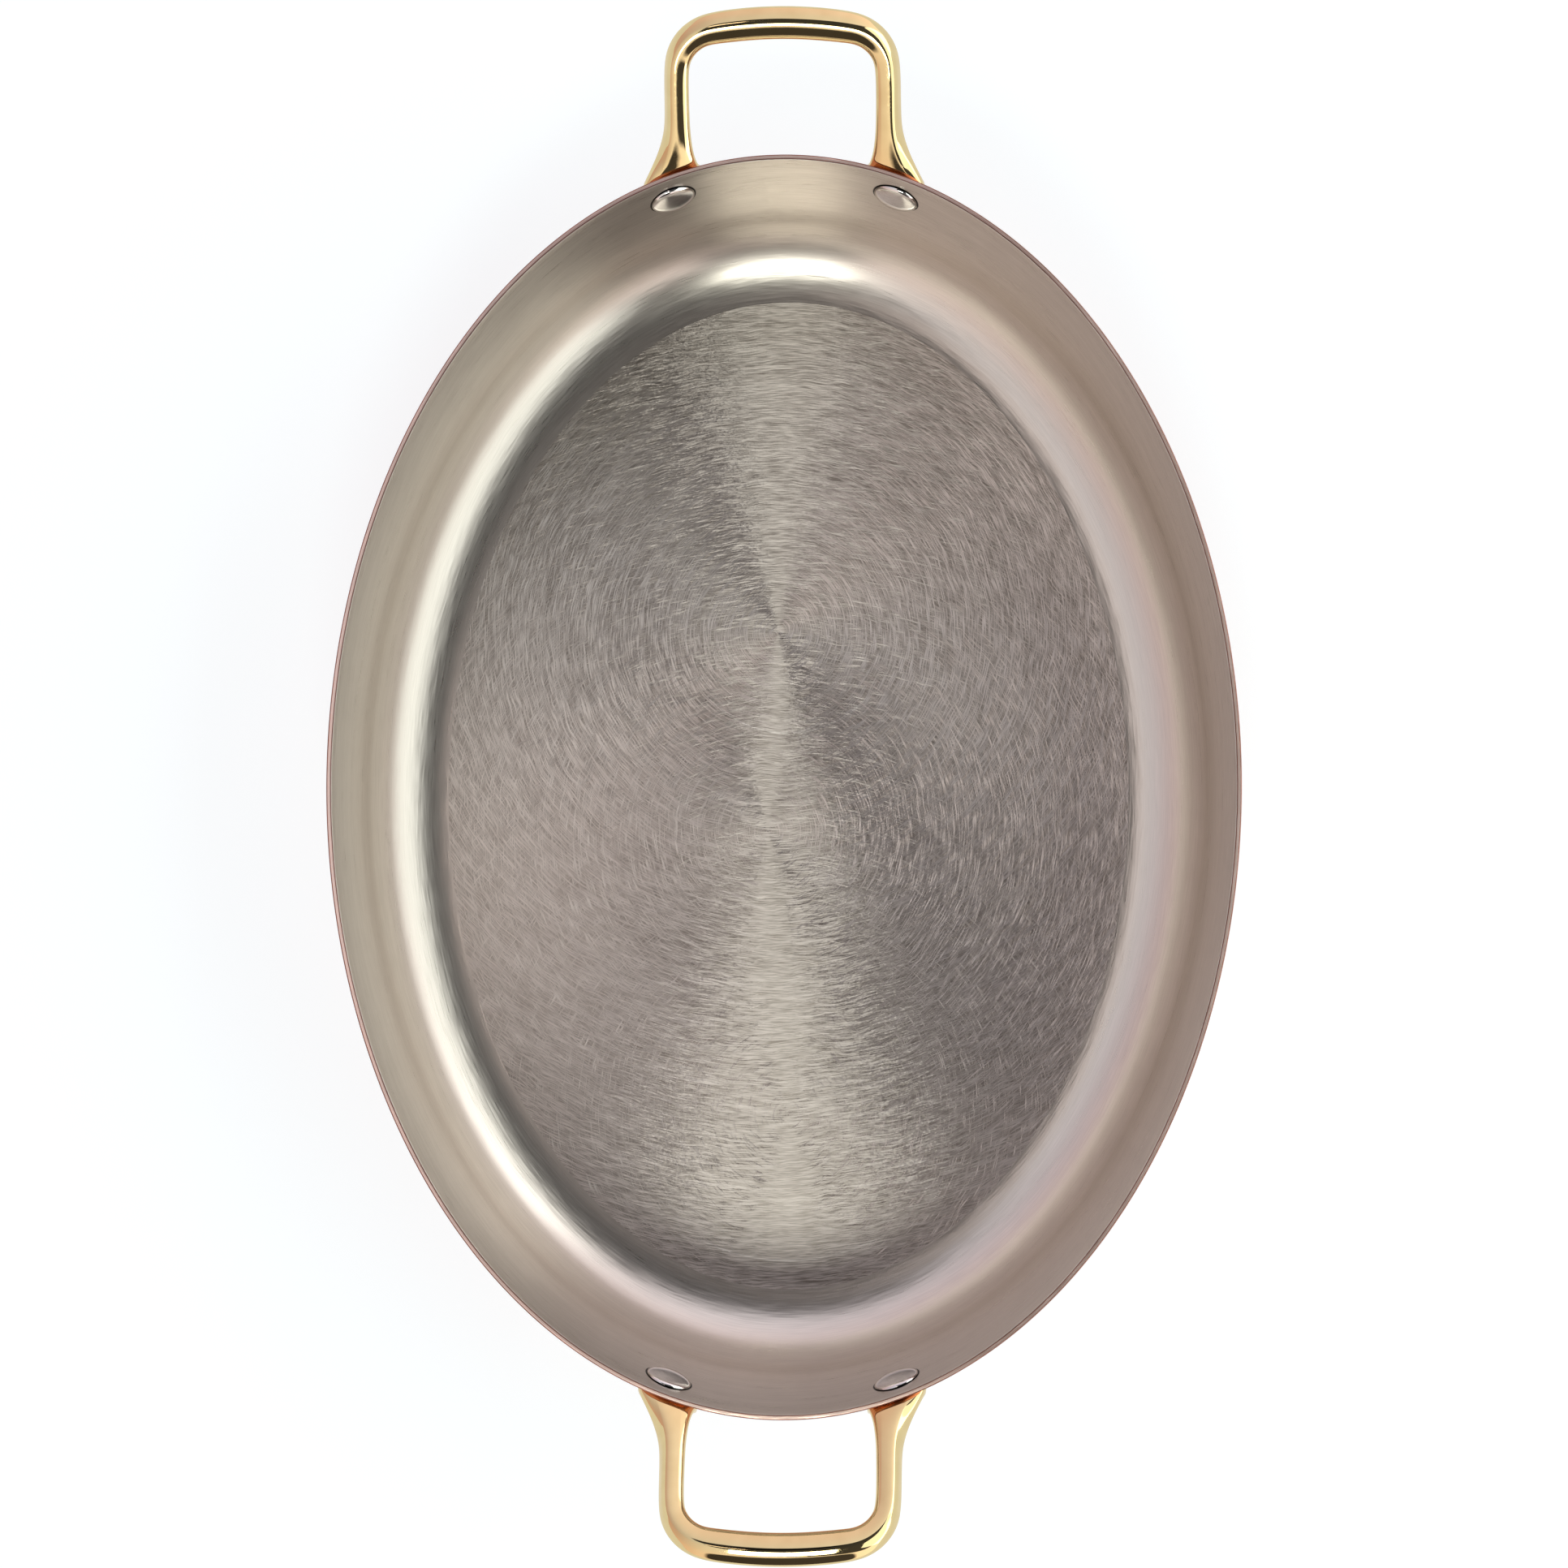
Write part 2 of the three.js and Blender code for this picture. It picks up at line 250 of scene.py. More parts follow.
def strokeDirection(tree, look, place, spot):  # square to the way out from the centre, give or take a little
    outwards = addNode(tree, "ShaderNodeVectorMath", {
        0: spot, 1: (1, look["brushAspect"] ** 2, 0),
    }, operation="MULTIPLY").outputs[0]
    outwards = addNode(tree, "ShaderNodeVectorMath", {0: outwards}, operation="NORMALIZE").outputs[0]
    stray = look["stray"] / noiseSwing
    drift = addNode(tree, "ShaderNodeTexNoise", {
        "Vector": place, "Scale": 1 / look["straySize"], "Detail": 2,
    }).outputs["Color"]
    drift = addNode(tree, "ShaderNodeVectorMath", {
        0: drift, 1: (0.5, 0.5, 0),
    }, operation="SUBTRACT").outputs[0]
    outwards = addNode(tree, "ShaderNodeVectorMath", {
        0: drift, 1: (stray, stray, 0), 2: outwards,
    }, operation="MULTIPLY_ADD").outputs[0]
    along = addNode(tree, "ShaderNodeVectorMath", {
        0: (0, 0, 1), 1: outwards,
    }, operation="CROSS_PRODUCT").outputs[0]
    return addNode(tree, "ShaderNodeVectorMath", {0: along}, operation="NORMALIZE").outputs[0]


def addPaintedScratchGlint(tree, look, scratch, place, fine, colour):  # a long scratch arc that breaks up as the strokes do, lightened near white as a painted highlight where it glints
    centred = centredOn(tree, place, *scratch["centre"])
    radius = addNode(tree, "ShaderNodeVectorMath", {0: centred}, operation="LENGTH").outputs["Value"]
    off = addNode(tree, "ShaderNodeMath", {
        0: radius, 1: scratch["radius"],
    }, operation="SUBTRACT").outputs[0]
    off = addNode(tree, "ShaderNodeMath", {0: off}, operation="ABSOLUTE").outputs[0]
    line = addNode(tree, "ShaderNodeMapRange", {
        "Value": off, "From Max": scratch["width"], "To Min": 1, "To Max": 0,
    }).outputs[0]
    way = addNode(tree, "ShaderNodeVectorMath", {0: centred}, operation="NORMALIZE").outputs[0]
    heading = math.radians(scratch["middle"])
    turn = addNode(tree, "ShaderNodeVectorMath", {
        0: way, 1: (math.cos(heading), math.sin(heading), 0),
    }, operation="DOT_PRODUCT").outputs["Value"]
    half = math.radians(scratch["span"] / 2)
    inside = addNode(tree, "ShaderNodeMapRange", {
        "Value": turn, "From Min": math.cos(half), "From Max": math.cos(half * scratch["solid"]),
    }).outputs[0]
    mark = addNode(tree, "ShaderNodeMath", {0: line, 1: inside}, operation="MULTIPLY").outputs[0]
    broken = addNode(tree, "ShaderNodeMath", {0: mark, 1: fine}, operation="MULTIPLY").outputs[0]
    return addNode(tree, "ShaderNodeMix", {
        0: broken, 6: colour, 7: fromHex(look["paintedScratchGlint"]),
    }, data_type="RGBA").outputs[2]


def addPaintedRivetShade(tree, look, place, colour):  # painted shade: a thin dark ring round each rivet head, where the head's edge meets the wall
    folded = addNode(tree, "ShaderNodeVectorMath", {0: place}, operation="ABSOLUTE").outputs[0]
    away = addNode(tree, "ShaderNodeVectorMath", {
        0: folded, 1: look["seat"],
    }, operation="DISTANCE").outputs["Value"]
    paintedRivetShade = addNode(tree, "ShaderNodeMapRange", {
        "Value": away, "To Min": 1, "To Max": 0,
        "From Min": look["rivetShadeRadius"], "From Max": look["rivetShadeRadius"] + look["rivetShadeEdge"],
    }).outputs[0]
    return addNode(tree, "ShaderNodeMix", {
        0: paintedRivetShade, 6: colour, 7: fromHex(look["paintedRivetShade"]),
    }, data_type="RGBA").outputs[2]


def leanStrokes(tree, look, fine, along):  # every stroke leans a little, across its own length
    flat = addNode(tree, "ShaderNodeNewGeometry").outputs["Normal"]
    across = addNode(tree, "ShaderNodeVectorMath", {0: flat, 1: along}, operation="CROSS_PRODUCT").outputs[0]
    most = look["strokeLean"]
    lean = addNode(tree, "ShaderNodeMapRange", {"Value": fine, "To Min": -most, "To Max": most}).outputs[0]
    leant = addNode(tree, "ShaderNodeVectorMath", {
        0: across, 1: lean, 2: flat,
    }, operation="MULTIPLY_ADD").outputs[0]
    return addNode(tree, "ShaderNodeVectorMath", {0: leant}, operation="NORMALIZE").outputs[0]


def brushedMetal(name, look):
    material, tree = startMaterial(name)
    place = addNode(tree, "ShaderNodeTexCoord").outputs["Object"]
    height = addNode(tree, "ShaderNodeSeparateXYZ", {0: place}).outputs["Z"]
    fine, spot = layStrokes(tree, look, place, height)
    along = strokeDirection(tree, look, place, spot)

    # bands are broad soft strokes under the fine ones
    middle = centredOn(tree, place, *look["passes"][0][:2])
    band = strokesRound(tree, look, middle, height, look["bandLength"], look["bandWidth"])
    low, high = look["bandRange"]
    band = addNode(tree, "ShaderNodeMapRange", {"Value": band, "From Min": low, "From Max": high}).outputs[0]
    share = addNode(tree, "ShaderNodeMix", {
        0: look["bandShare"], 2: fine, 3: band,
    }, data_type="FLOAT").outputs[0]
    colour = addNode(tree, "ShaderNodeMix", {
        0: share, 6: fromHex(look["dark"]), 7: fromHex(look["light"]),
    }, data_type="RGBA").outputs[2]
    low, high = look["roughness"]
    rough = addNode(tree, "ShaderNodeMapRange", {"Value": share, "To Min": low, "To Max": high}).outputs[0]
    # the scratches are painted in as bright glints: painted highlights
    for scratch in look["scratches"]:
        colour = addPaintedScratchGlint(tree, look, scratch, place, fine, colour)
    # painted shade in a thin ring round the rivet heads
    if "seat" in look:
        colour = addPaintedRivetShade(tree, look, place, colour)
    shader = addNode(tree, "ShaderNodeBsdfPrincipled", {
        "Base Color": colour, "Metallic": 1, "Roughness": rough,
        "Normal": leanStrokes(tree, look, fine, along), "Tangent": along,
        "Anisotropic": look["anisotropy"], "Anisotropic Rotation": quarterTurn,
    }).outputs[0]
    addNode(tree, "ShaderNodeOutputMaterial", {"Surface": shader})
    return material


# what everything brushed round the oval has in common
roundTheWall = {
    "passes": [(0, 0, 0)],
    "brushAspect": pan["rimWidth"] / pan["rimLength"],
    "strokeRange": (0.3, 0.7),
    "bandRange": (0.3, 0.7),
    "bandShare": 0.35,
    "wander": 0.2 * mm,
    "wanderSize": 12 * mm,
    "stray": 0.02,
    "straySize": 10 * mm,
    "scratches": [],
}

# Stainless sheet, brushed round the wall: a satin grey that draws light out up and down the wall.
# The strokes are drawn three times as wide as the real ones, to show.
brushedWallSteel = brushedMetal("brushedWallSteel", {
    **roundTheWall,
    "strokeLength": 9 * mm,
    "strokeWidth": 0.3 * mm,
    "strokeLean": 0.035,
    "bandLength": 130 * mm,
    "bandWidth": 4 * mm,
    "dark": "#C7BFB6",
    "light": "#D8D0C7",
    "roughness": (0.27, 0.31),
    "anisotropy": 0.6,
    "seat": wallPoint(turnAtX(rivets["spacing"] / 2, rivets["drop"], 0), rivets["drop"], 0),
    # painted shade round the rivet heads: its colour, inner radius and fade
    "paintedRivetShade": "#241E1B",
    "rivetShadeRadius": rivets["innerHead"] / 2 + 0.35 * mm,
    "rivetShadeEdge": 0.2 * mm,
})

# The same sheet on the floor, ground by hand with a round pad that was moved along the pan: short arcs that
# cross, round centres in a row. The arcs are drawn about twice as wide as the real ones, to show.
brushedFloorSteel = brushedMetal("brushedFloorSteel", {
    "passes": [(-3 * mm, 48 * mm, 0.05), (-6 * mm, -12 * mm, 0), (0, -96 * mm, -0.05)],
    "brushAspect": 1,
    "strokeLength": 6 * mm,
    "strokeWidth": 0.25 * mm,
    "strokeRange": (0.44, 0.7),
    "strokeLean": 0.045,
    "bandLength": 30 * mm,
    "bandWidth": 3 * mm,
    "bandRange": (0.3, 0.7),
    "bandShare": 0.15,
    "wander": 0.5 * mm,
    "wanderSize": 12 * mm,
    "stray": 0.15,
    "straySize": 0.6 * mm,
    "dark": "#A4998F",
    "light": "#F0E6DD",
    "roughness": (0.32, 0.36),
    "anisotropy": 0.97,
    # each is an arc round its centre, of that span round its middle in degrees; past its solid part it fades
    "scratches": [
        {
            "centre": (0, 49 * mm), "radius": 31.5 * mm, "width": 0.4 * mm,
            "middle": -90, "span": 110, "solid": 0.7,
        },
        {
            "centre": (0, -82 * mm), "radius": 58 * mm, "width": 0.4 * mm,
            "middle": -88, "span": 62, "solid": 0.7,
        },
    ],
    # painted highlight: the near-white colour of the glinting scratches
    "paintedScratchGlint": "#FFF8F0",
})

# Copper, brushed round the outside of the wall: warm pink satin, a little darker along its bands.
# The strokes are drawn three times as wide as the real ones, to show.
brushedCopper = brushedMetal("brushedCopper", {
    **roundTheWall,
    "strokeLength": 20 * mm,
    "strokeWidth": 0.35 * mm,
    "strokeLean": 0.08,
    "bandLength": 130 * mm,
    "bandWidth": 5 * mm,
    "dark": "#C98069",
    "light": "#DC9C82",
    "roughness": (0.24, 0.3),
    "anisotropy": 0.9,
})

# file marks on the cut edge, drawn twice as wide as the real ones, to show
fileMarks = {
    **roundTheWall,
    "strokeLength": 6 * mm,
    "strokeWidth": 0.2 * mm,
    "strokeLean": 0.1,
    "bandLength": 60 * mm,
    "bandWidth": 1 * mm,
    "wander": 0.1 * mm,
}

# The sheet's cut edge: copper filed smooth and kept bare, so it is pale and bright
filedCopper = brushedMetal("filedCopper", {
    **fileMarks,
    "dark": "#F0CCBC",
    "light": "#FDE7DC",
    "roughness": (0.3, 0.4),
    "anisotropy": 0.6,
})

# The same copper on both sides of the bare strip, painted brown and dull: painted shade for the dark that
# the rounded rim edges reflect
paintedShadeRimCopper = brushedMetal("paintedShadeRimCopper", {
    **fileMarks,
    "dark": "#7C5144",
    "light": "#A5776A",
    "roughness": (0.4, 0.5),
    "anisotropy": 0.4,
})


def polishedMetal(name, look):
    material, tree = startMaterial(name)
    place = addNode(tree, "ShaderNodeTexCoord").outputs["Object"]
    wave = addNode(tree, "ShaderNodeTexNoise", {
        "Vector": place, "Scale": 1 / look["waveSize"], "Detail": 1,
    }).outputs["Fac"]
    grain = addNode(tree, "ShaderNodeTexNoise", {
        "Vector": place, "Scale": 1 / look["grainSize"], "Detail": 3,
    }).outputs["Fac"]
    colour = addNode(tree, "ShaderNodeMix", {
        0: wave, 6: fromHex(look["dark"]), 7: fromHex(look["light"]),
    }, data_type="RGBA").outputs[2]
    grainLow, grainHigh = look["grainRange"]
    low, high = look["roughness"]
    rough = addNode(tree, "ShaderNodeMapRange", {
        "Value": grain, "From Min": grainLow, "From Max": grainHigh, "To Min": low, "To Max": high,
    }).outputs[0]
    soft = addNode(tree, "ShaderNodeBump", {
        "Height": wave, "Distance": look["waveDepth"], "Strength": 1,
    }).outputs[0]
    bump = addNode(tree, "ShaderNodeBump", {
        "Height": grain, "Distance": look["grainDepth"], "Strength": 1, "Normal": soft,
    }).outputs[0]
    shader = addNode(tree, "ShaderNodeBsdfPrincipled", {
        "Base Color": colour, "Metallic": 1, "Roughness": rough, "Normal": bump,
    }).outputs[0]
    addNode(tree, "ShaderNodeOutputMaterial", {"Surface": shader})
    return material


# Brass, sand cast and buffed by hand: a yellow mirror that wavers a little
polishedBrass = polishedMetal("polishedBrass", {
    "waveSize": 5 * mm,
    "waveDepth": 0.02 * mm,
    "grainSize": 0.5 * mm,
    "grainDepth": 0.001 * mm,
    "grainRange": (0.35, 0.65),
    "dark": "#CFB785",
    "light": "#DCC694",
    "roughness": (0.03, 0.07),
})

# Rivet steel, headed cold and buffed: a bright mirror with fine scuffs
polishedSteel = polishedMetal("polishedSteel", {
    "waveSize": 4 * mm,
    "waveDepth": 0.01 * mm,
    "grainSize": 0.4 * mm,
    "grainDepth": 0.001 * mm,
    "grainRange": (0.35, 0.65),
    "dark": "#C9C5C2",
    "light": "#DAD7D4",
    "roughness": (0.04, 0.09),
})


# Body of the pan

def faceProfile(offset):  # from the flat floor out round the corner and up to the rim
    def upWall(turn, share):
        return cornerPoint(turn, 1, offset).lerp(wallPoint(turn, 0, offset), share)

    places = [lambda turn: ovalPoint(turn, cornerInset(turn) + pan["floorMargin"], sheet - offset)]
    for step in range(pan["cornerSteps"] + 1):
        places.append(lambda turn, share=step / pan["cornerSteps"]: cornerPoint(turn, share, offset))
    for step in range(1, pan["wallSteps"] + 1):
        places.append(lambda turn, share=step / pan["wallSteps"]: upWall(turn, share))
    return places


# a layer of the sheet is grown ring by ring, up its inside, over its rim and down its outside
def pressLayer(inner, outer, roundedRim, radius, rimOffsets=()):
    bm = bmesh.new()
    upInside = faceProfile(inner)
    downOutside = faceProfile(outer)[::-1]
    edges = startRing(bm, pan["segments"], lambda k: math.tau * k / pan["segments"], upInside[0])
    rims = {}
    for pointAt in upInside[1:]:
        edges = growRing(bm, edges, pointAt)
    rims["inner"] = edges
    for offset in rimOffsets:
        edges = growRing(bm, edges, lambda turn, offset=offset: wallPoint(turn, 0, offset))
    for k, pointAt in enumerate(downOutside):
        edges = growRing(bm, edges, pointAt)
        if k == 0:
            rims["outer"] = edges
    bmesh.ops.holes_fill(bm, edges=[edge for edge in bm.edges if edge.is_boundary], sides=0)
    bmesh.ops.bevel(
        bm, geom=rims[roundedRim], offset=radius, segments=pan["edgeSteps"],
        profile=0.5, affect="EDGES", material=-1,
    )
    return bm


def rimTone(point):  # 0 on the wall, 1 on the bare strip of the rim and 2 on the rest of it, which is painted shade
    if point.z < pan["height"] - pan["copperEdge"]:
        return 0
    turn = math.atan2(point.y / pan["rimLength"], point.x / pan["rimWidth"])
    inset = (ovalPoint(turn, 0, point.z) - point).length
    return 1 if pan["copperEdge"] < inset < pan["bareInset"] else 2


copperMesh = pressLayer(pan["lining"], sheet, "outer", pan["copperEdge"], [sheet - pan["bareInset"]])
for face in copperMesh.faces:
    face.material_index = rimTone(face.calc_center_median())
finishPiece(
    copperMesh, "copperBody", [brushedCopper, filedCopper, paintedShadeRimCopper], "copper_shell",
)

liningMesh = pressLayer(0, pan["lining"], "inner", pan["liningEdge"])
for face in liningMesh.faces:  # the floor and what is under it are ground, and the rest is brushed
    face.material_index = int(face.calc_center_median().z < sheet + tiny)
finishPiece(
    liningMesh, "steelLining", [brushedWallSteel, brushedFloorSteel], "steel_lining",
)
print("the body is pressed")


# Handles

handle = {
    "gripReach": 32.3 * mm,
    "gripRise": 20.5 * mm,
    "gripWidth": 9.4 * mm,
    "gripBow": 1.3 * mm,  # how far the grip's middle stands out from its ends
    "span": 60.4 * mm,
    "legWidth": 7.7 * mm,
    "thickness": 7.8 * mm,
    "ridge": 0.5,  # how crisp the two ridges along the top of the bar are
    "corner": 12.5 * mm,
    "footLength": 16 * mm,
    "footWidth": 16.4 * mm,
    "footThickness": 6.2 * mm,
    "footDrop": 3.5 * mm,
    "padWidth": 18 * mm,
    "padBack": 1.65 * mm,  # offsets from the lining's inside face
    "padFront": 5.9 * mm,
    "gripRings": (0, 0.5, 1),  # rings from the middle of the grip to its corner
    "cornerSteps": 4,
    "legRings": (1, 0.7, 0.45, 0.25),  # rings down the leg, as shares of its foot's length
    # rings down the pad: share of its width, drops of its back and front in mm, and how far it is a flat pad
    "padRings": [
        (0.93, 1.2, 5.6, 0.45), (1, 3.6, 7.4, 0.8), (1, 7, 8.8, 1), (1, 11.5, 11.5, 1),
        (0.93, 14.8, 14.8, 1), (0.74, 17.6, 17.6, 1), (0.42, 19.8, 19.8, 1), (0.16, 20.5, 20.5, 1),
    ],
    "smoothing": 3,
}

# Half-size outlines of the bar and of its pad, one point for one point. The first number points out of the
# loop and the second up. The bar is nearly flat on top, between two soft ridges.
barOutline = [
    (-0.55, 0.8), (-0.16, 0.89), (0.23, 0.9), (0.41, 0.8),
    (0.66, 0.5), (0.8, 0.16), (0.94, -0.21), (0.91, -0.47),
    (0.82, -0.67), (0.56, -0.89), (0.09, -0.98), (-0.43, -0.77),
    (-0.81, -0.34), (-0.95, 0.09), (-0.93, 0.42), (-0.8, 0.66),
]
padOutline = [
    (-0.55, 1), (-0.3, 1), (0, 1), (0.4, 1),
    (0.85, 1), (1, 0.75), (1, 0), (1, -0.75),
    (0.85, -1), (0.35, -1), (-0.2, -1), (-0.85, -1),
    (-1, -0.75), (-1, 0), (-1, 0.75), (-0.85, 1),
]
ridgePoints = (0, 3)


# Rings along half of the far handle: out along the grip, round its corner, down the leg and its foot, and
# down the pad. Runs are measured up the handle's slope from its foot.
def handleRings():
    half = handle["span"] / 2
    bend = handle["corner"]
    rivetX = rivets["spacing"] / 2
    middle = (handle["padBack"] + handle["padFront"]) / 2
    foot = wallAtX(rivetX, handle["footDrop"], middle)
    gripY = pan["rimLength"] / 2 + handle["gripReach"]
    gripZ = pan["height"] + handle["gripRise"]
    slope = math.atan2(gripZ - foot.z, gripY - foot.y)
    upSlope = Vector((0, math.cos(slope), math.sin(slope)))
    through = Vector((0, -math.sin(slope), math.cos(slope)))
    gripRun = (gripZ - foot.z) / math.sin(slope) - handle["gripBow"]
    rimSlope = (wallAtX(rivetX + mm, 0, 0) - wallAtX(rivetX - mm, 0, 0)).normalized()

    def barRing(x, run, heading, width, thickness, spread=0):
        centre = Vector((x, foot.y, foot.z)) + upSlope * run
        side = Vector((1, 0, 0)).lerp(rimSlope, spread).normalized()
        across = side * math.cos(heading) + upSlope * math.sin(heading)

        def pointAt(spoke):
            u, v = barOutline[round(spoke)]
            return centre + across * (u * width / 2) + through * (v * thickness / 2)
        return pointAt

    def wallRing(width, backDrop, frontDrop, flatness):
        def pointAt(spoke):
            bar, pad = Vector(barOutline[round(spoke)]), Vector(padOutline[round(spoke)])
            u, v = bar.lerp(pad, flatness)
            share = (v + 1) / 2
            x = rivetX + u * width / 2 * rimSlope.x
            drop = lerp(frontDrop, backDrop, share)
            return wallAtX(x, drop, lerp(handle["padFront"], handle["padBack"], share))
        return pointAt

    places = []
    for share in handle["gripRings"]:
        x = (half - bend) * share
        bow = handle["gripBow"] * (1 - share ** 2)
        places.append(barRing(x, gripRun + bow, math.pi / 2, handle["gripWidth"], handle["thickness"]))
    for step in range(1, handle["cornerSteps"] + 1):
        share = step / handle["cornerSteps"]
        angle = (1 - share) * math.pi / 2
        places.append(barRing(
            half - bend + bend * math.cos(angle), gripRun - bend + bend * math.sin(angle), angle,
            lerp(handle["gripWidth"], handle["legWidth"], share), handle["thickness"],
        ))
    for share in handle["legRings"]:
        spread = (1 - share) ** 2
        places.append(barRing(
            lerp(half, rivetX, spread), share * handle["footLength"], 0,
            lerp(handle["legWidth"], handle["footWidth"], spread),
            lerp(handle["thickness"], handle["footThickness"], spread), spread,
        ))
    for width, backDrop, frontDrop, flatness in handle["padRings"]:
        places.append(wallRing(handle["padWidth"] * width, backDrop * mm, frontDrop * mm, flatness))
    return places


def castHandle(end):
    bm = bmesh.new()
    places = handleRings()
    edges = startRing(bm, len(barOutline), lambda k: k, places[0])
    for pointAt in places[1:]:
        edges = growRing(bm, edges, pointAt)
    bmesh.ops.holes_fill(bm, edges=edges, sides=0)
    around = bm.verts.layers.float["around"]
    crease = bm.edges.layers.float.new("crease_edge")
    for edge in bm.edges:
        first, last = (round(vert[around]) for vert in edge.verts)
        if first == last and first in ridgePoints:
            edge[crease] = handle["ridge"]
    bmesh.ops.mirror(bm, geom=bm.verts[:] + bm.edges[:] + bm.faces[:], axis="X", merge_dist=tiny)
    bmesh.ops.transform(bm, matrix=Matrix.Scale(end, 4, (0, 1, 0)), verts=bm.verts)
    return bm


for endName, end in (("far", 1), ("near", -1)):
    piece = finishPiece(
        castHandle(end), f"{endName}Handle", [polishedBrass],
        f"{endName}_handle", sharpAngle=180,
    )
    smooth = piece.modifiers.new("smooth", "SUBSURF")
    smooth.levels = smooth.render_levels = handle["smoothing"]
print("the handles are cast")


# Rivets

def domeCurve(diameter, height):  # from the crown down to the edge
    curve = []
    for step in range(rivets["domeSteps"] + 1):
        angle = step / rivets["domeSteps"] * math.pi / 2
        curve.append((diameter / 2 * math.sin(angle) ** rivets["fullness"], height * math.cos(angle)))
    return curve


def rivetFrame(side):  # on the far wall: along the rim, up the wall and out through it
    turn = turnAtX(side * rivets["spacing"] / 2, rivets["drop"], 0)
    seat = wallPoint(turn, rivets["drop"], 0)
    up = (wallPoint(turn, rivets["drop"] - tiny, 0) - seat).normalized()
    nudge = 0.01  # radians
    before = wallPoint(turn - nudge, rivets["drop"], 0)
    after = wallPoint(turn + nudge, rivets["drop"], 0)
    along = (after - before).normalized()
    outwards = along.cross(up).normalized()
    along = up.cross(outwards)
    return Matrix.Translation(seat) @ Matrix((along, up, outwards)).transposed().to_4x4()


def turnRivet(side, end):
    edge = rivets["edge"]
    innerDome = domeCurve(rivets["innerHead"], rivets["innerHeight"] - edge)
    inner = [(r, -z - edge) for r, z in innerDome] + [(rivets["innerHead"] / 2 - edge, 0)]
    outerDome = domeCurve(rivets["outerHead"], rivets["outerHeight"])
    outer = [(r, handle["padFront"] + z) for r, z in outerDome]
    shank = [(rivets["shank"] / 2, 0), (rivets["shank"] / 2, handle["padFront"])]
    profile = inner + shank + outer[::-1]
    bm = bmesh.new()
    verts = [bm.verts.new((radius, 0, height)) for radius, height in profile]
    edges = [bm.edges.new(pair) for pair in zip(verts, verts[1:])]
    bmesh.ops.spin(
        bm, geom=verts + edges, cent=(0, 0, 0), axis=(0, 0, 1), angle=math.tau,
        steps=rivets["segments"], use_merge=True,
    )
    bmesh.ops.remove_doubles(bm, verts=bm.verts, dist=tiny)
    place = Matrix.Scale(end, 4, (0, 1, 0)) @ rivetFrame(side)
    bmesh.ops.transform(bm, matrix=place, verts=bm.verts)
    return bm


for endName, end in (("far", 1), ("near", -1)):
    for sideName, side in (("Left", -1), ("Right", 1)):
        finishPiece(
            turnRivet(side, end), f"{endName}{sideName}Rivet", [polishedSteel],
            f"{endName}_{sideName.lower()}_rivet",
        )
print("the rivets are turned")


# Studio: pale floor, soft lights and the camera above the pan

studio = {
    "floorSize": 6,
    "floorGap": 0.2 * mm,
    "floorColour": "#9DA8AC",
    "floorLift": 0.7,  # the part of the white background that no lamp gives
    # light of the room from all round, and how it changes towards the right, the far end and the ceiling
    "room": (1.4, 1.17, 1.15),
    "towardsRight": (0.55, 0.58, 0.58),
    "towardsFarEnd": (-0.16, -0.14, -0.06),
    "towardsCeiling": (-0.29, -0.02, 0.07),
    "clothEdge": 3,  # degrees over which a cloth's edge fades
    "clothShade": 0.05,  # light that the cloths still let through
    "boxDistance": 3,
}

# black cloths hung round the camera, which give the metal its dark bands; all in degrees
cloths = {
    "overhead": {"azimuth": -16, "tilt": 33, "radius": 48},
    "farSide": {"azimuth": 107, "tilt": 24, "radius": 12},
    "nearWall": {"azimuth": -90, "tilt": 77, "radius": 20},
}


def wayTo(azimuth, tilt):  # azimuth from +X and tilt from straight up, in degrees
    azimuth, tilt = math.radians(azimuth), math.radians(tilt)
    return Vector((math.sin(tilt) * math.cos(azimuth), math.sin(tilt) * math.sin(azimuth), math.cos(tilt)))


floorMaterial, tree = startMaterial("paleFloor")
diffuse = addNode(tree, "ShaderNodeBsdfDiffuse", {"Color": fromHex(studio["floorColour"])}).outputs[0]
# the camera and the metal see the floor as white, and the pan's shadow still falls on it
ray = addNode(tree, "ShaderNodeLightPath").outputs
seen = ray["Is Camera Ray"]
for kind in ("Is Glossy Ray", "Is Transmission Ray"):
    seen = addNode(tree, "ShaderNodeMath", {0: seen, 1: ray[kind]}, operation="MAXIMUM").outputs[0]
lift = addNode(tree, "ShaderNodeMath", {0: seen, 1: studio["floorLift"]}, operation="MULTIPLY").outputs[0]
glow = addNode(tree, "ShaderNodeEmission", {"Color": (1, 1, 1, 1), "Strength": lift}).outputs[0]
both = addNode(tree, "ShaderNodeAddShader", {0: diffuse, 1: glow}).outputs[0]
addNode(tree, "ShaderNodeOutputMaterial", {"Surface": both})

bm = bmesh.new()
bmesh.ops.create_grid(
    bm, x_segments=1, y_segments=1, size=studio["floorSize"] / 2,
    matrix=Matrix.Translation((0, 0, -studio["floorGap"])),
)
floorMesh = bpy.data.meshes.new("studioFloor")
bm.to_mesh(floorMesh)
bm.free()
floorMesh.materials.append(floorMaterial)
studioFloor = bpy.data.objects.new("studioFloor", floorMesh)
bpy.context.scene.collection.objects.link(studioFloor)

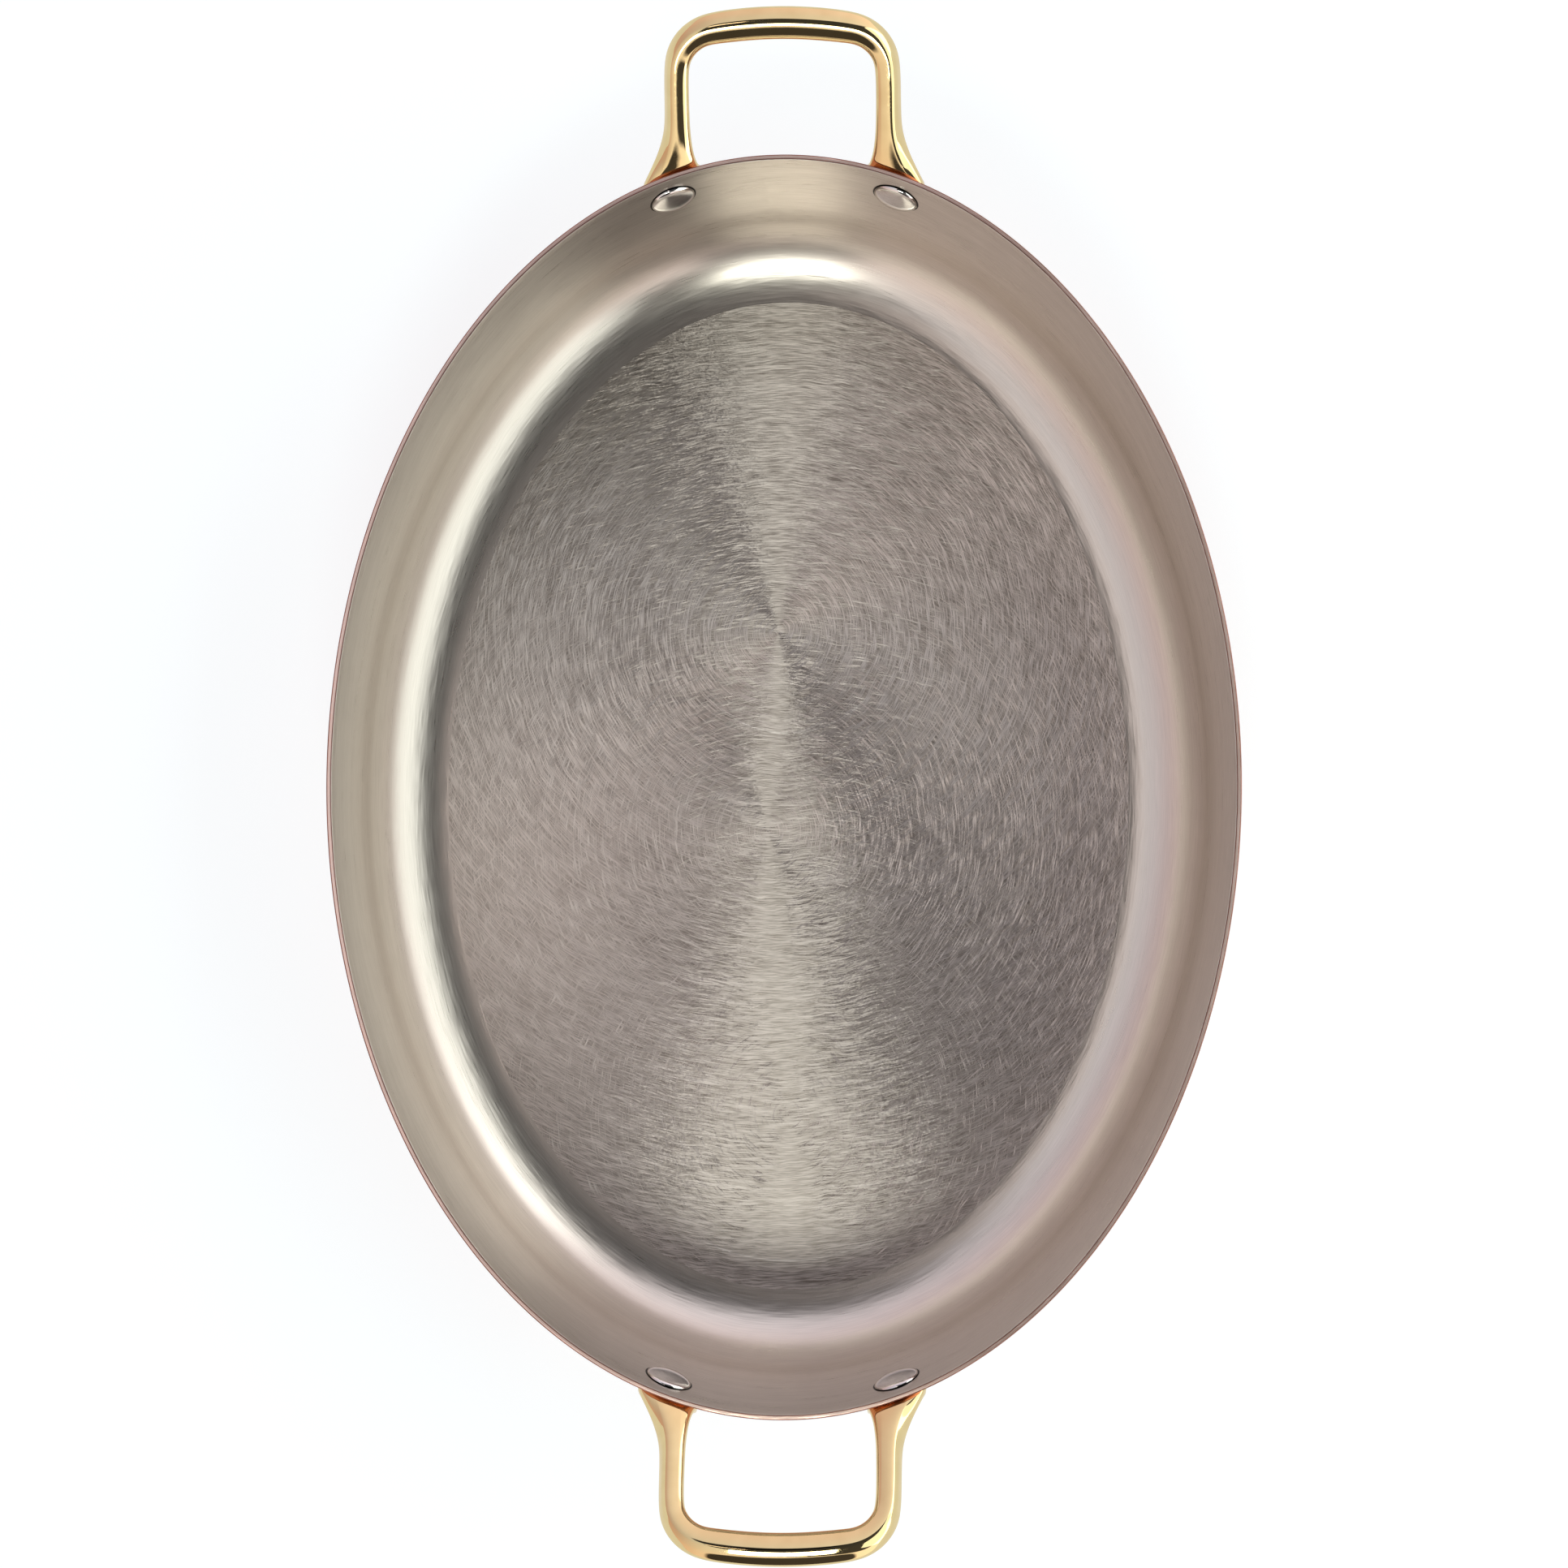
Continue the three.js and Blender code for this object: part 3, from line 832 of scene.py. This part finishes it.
world = bpy.data.worlds.new("studio")
bpy.context.scene.world = world
world.use_nodes = True
tree = world.node_tree
tree.nodes.clear()
direction = addNode(tree, "ShaderNodeTexCoord").outputs["Generated"]
light = studio["room"]
for axis, change in enumerate(("towardsRight", "towardsFarEnd", "towardsCeiling")):
    amount = addNode(tree, "ShaderNodeSeparateXYZ", {0: direction}).outputs[axis]
    light = addNode(tree, "ShaderNodeVectorMath", {
        0: amount, 1: studio[change], 2: light,
    }, operation="MULTIPLY_ADD").outputs[0]
clearSky = 1  # where no cloth hangs
for cloth in cloths.values():
    nearness = addNode(tree, "ShaderNodeVectorMath", {
        0: direction, 1: wayTo(cloth["azimuth"], cloth["tilt"]),
    }, operation="DOT_PRODUCT").outputs["Value"]
    clear = addNode(tree, "ShaderNodeMapRange", {
        "Value": nearness, "To Min": 1, "To Max": studio["clothShade"],
        "From Min": math.cos(math.radians(cloth["radius"] + studio["clothEdge"] / 2)),
        "From Max": math.cos(math.radians(cloth["radius"] - studio["clothEdge"] / 2)),
    }).outputs[0]
    clearSky = addNode(tree, "ShaderNodeMath", {0: clear, 1: clearSky}, operation="MULTIPLY").outputs[0]
background = addNode(tree, "ShaderNodeBackground", {"Color": light, "Strength": clearSky}).outputs[0]
addNode(tree, "ShaderNodeOutputWorld", {"Surface": background})

# soft boxes that face the pan; width and height are shares of their distance
softboxes = {
    "keyBox": {
        "azimuth": -91, "tilt": 40.6, "width": 0.36, "height": 0.22, "brightness": 10.2, "colour": "#FAFFF6",
    },
    "rightBox": {
        "azimuth": -2, "tilt": 64, "width": 1.85, "height": 0.98, "brightness": 1.8, "colour": "#F8FFFB",
    },
    "topBox": {
        "azimuth": 176, "tilt": 10, "width": 0.14, "height": 0.14, "brightness": 2.6, "colour": "#FFF0EA",
    },
}
for name, box in softboxes.items():
    out = wayTo(box["azimuth"], box["tilt"])
    data = bpy.data.lights.new(name, "AREA")
    data.shape = "RECTANGLE"
    data.size = box["width"] * studio["boxDistance"]
    data.size_y = box["height"] * studio["boxDistance"]
    data.energy = box["brightness"] * math.pi * data.size * data.size_y  # brightness 1 is white in a mirror
    data.color = fromHex(box["colour"])[:3]
    lamp = bpy.data.objects.new(name, data)
    lamp.location = out * studio["boxDistance"]
    lamp.rotation_mode = "QUATERNION"
    lamp.rotation_quaternion = out.to_track_quat("Z", "Y")
    bpy.context.scene.collection.objects.link(lamp)

camera = {
    "place": (27.0 * mm, -58.5 * mm, 980.2 * mm),
    "turn": (3.55, 1.64, -0.01),  # degrees off straight down, about X, Y and Z
    "lens": 74.94,
    "sensor": 36,
}
cameraData = bpy.data.cameras.new("camera")
cameraData.lens = camera["lens"]
cameraData.sensor_width = camera["sensor"]
cameraObject = bpy.data.objects.new("camera", cameraData)
cameraObject.location = camera["place"]
cameraObject.rotation_mode = "ZYX"
cameraObject.rotation_euler = Euler([math.radians(angle) for angle in camera["turn"]], "ZYX")
bpy.context.scene.collection.objects.link(cameraObject)
bpy.context.scene.camera = cameraObject
bpy.context.scene.view_settings.view_transform = "Standard"
print("the studio is set")
